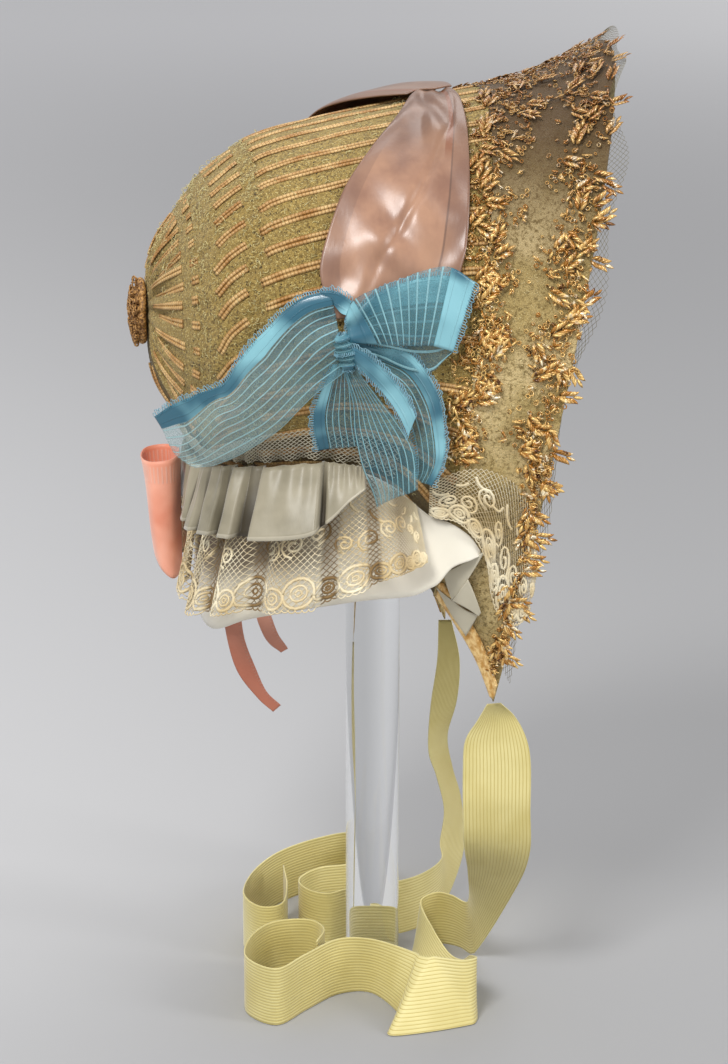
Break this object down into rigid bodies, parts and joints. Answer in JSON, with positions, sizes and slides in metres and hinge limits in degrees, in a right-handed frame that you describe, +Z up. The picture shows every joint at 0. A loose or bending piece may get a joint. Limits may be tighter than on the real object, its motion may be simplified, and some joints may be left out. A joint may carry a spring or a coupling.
{
  "type": "poke bonnet on a clear display post",
  "caption": "Deep-brimmed poke bonnet with straw trim, ribbon bow, lace and silk neck frills and long ties, carried on a clear round display post.",
  "frame": {"origin": "middle of the display post's foot, on the floor", "axes": "+X to the front of the bonnet, +Z up along the post, -Y the side with the bow"},
  "size_m": [0.2158, 0.2075, 0.4364],
  "materials": {
    "clear_acrylic": "clear, polished",
    "green_gold_gauze": "stiff openwork gauze over straw cords",
    "brown_gold_cord": "knotted silk cord",
    "olive_gold_gauze": "sheer stiffened gauze",
    "gold_straw": "glossy split straw",
    "mauve_silk": "satin",
    "blue_gauze_ribbon": "sheer with satin borders",
    "ivory_silk": "soft satin",
    "cream_lace": "open lace",
    "grey_net": "open net",
    "coral_silk": "soft satin",
    "yellow_ribbon": "corded silk"
  },
  "bodies": {
    "root": {"display_post": "clear_acrylic", "crown": "green_gold_gauze", "crown_button": "brown_gold_cord", "brim": "olive_gold_gauze", "straw_back_near": "gold_straw", "straw_back_far": "gold_straw", "straw_front_near": "gold_straw", "straw_front_far": "gold_straw", "cheek_braid_near": "gold_straw", "cheek_braid_far": "gold_straw", "silk_band_near": "mauve_silk", "silk_band_far": "mauve_silk", "bow_loop": "blue_gauze_ribbon", "bow_fold": "blue_gauze_ribbon", "bow_tail_back": "blue_gauze_ribbon", "bow_tail_short": "blue_gauze_ribbon", "bow_tail_front": "blue_gauze_ribbon", "bow_knot": "blue_gauze_ribbon", "curtain": "ivory_silk", "lace_flounce": "cream_lace", "silk_frill": "ivory_silk", "net_band": "grey_net", "cheek_lace_near": "cream_lace", "cheek_lace_far": "cream_lace", "cheek_fold_near": "ivory_silk", "cheek_fold_far": "ivory_silk", "nape_loop": "coral_silk", "nape_tail_long": "coral_silk", "nape_tail_short": "coral_silk", "tie_near": "yellow_ribbon", "tie_far": "yellow_ribbon"}
  },
  "joints": []
}
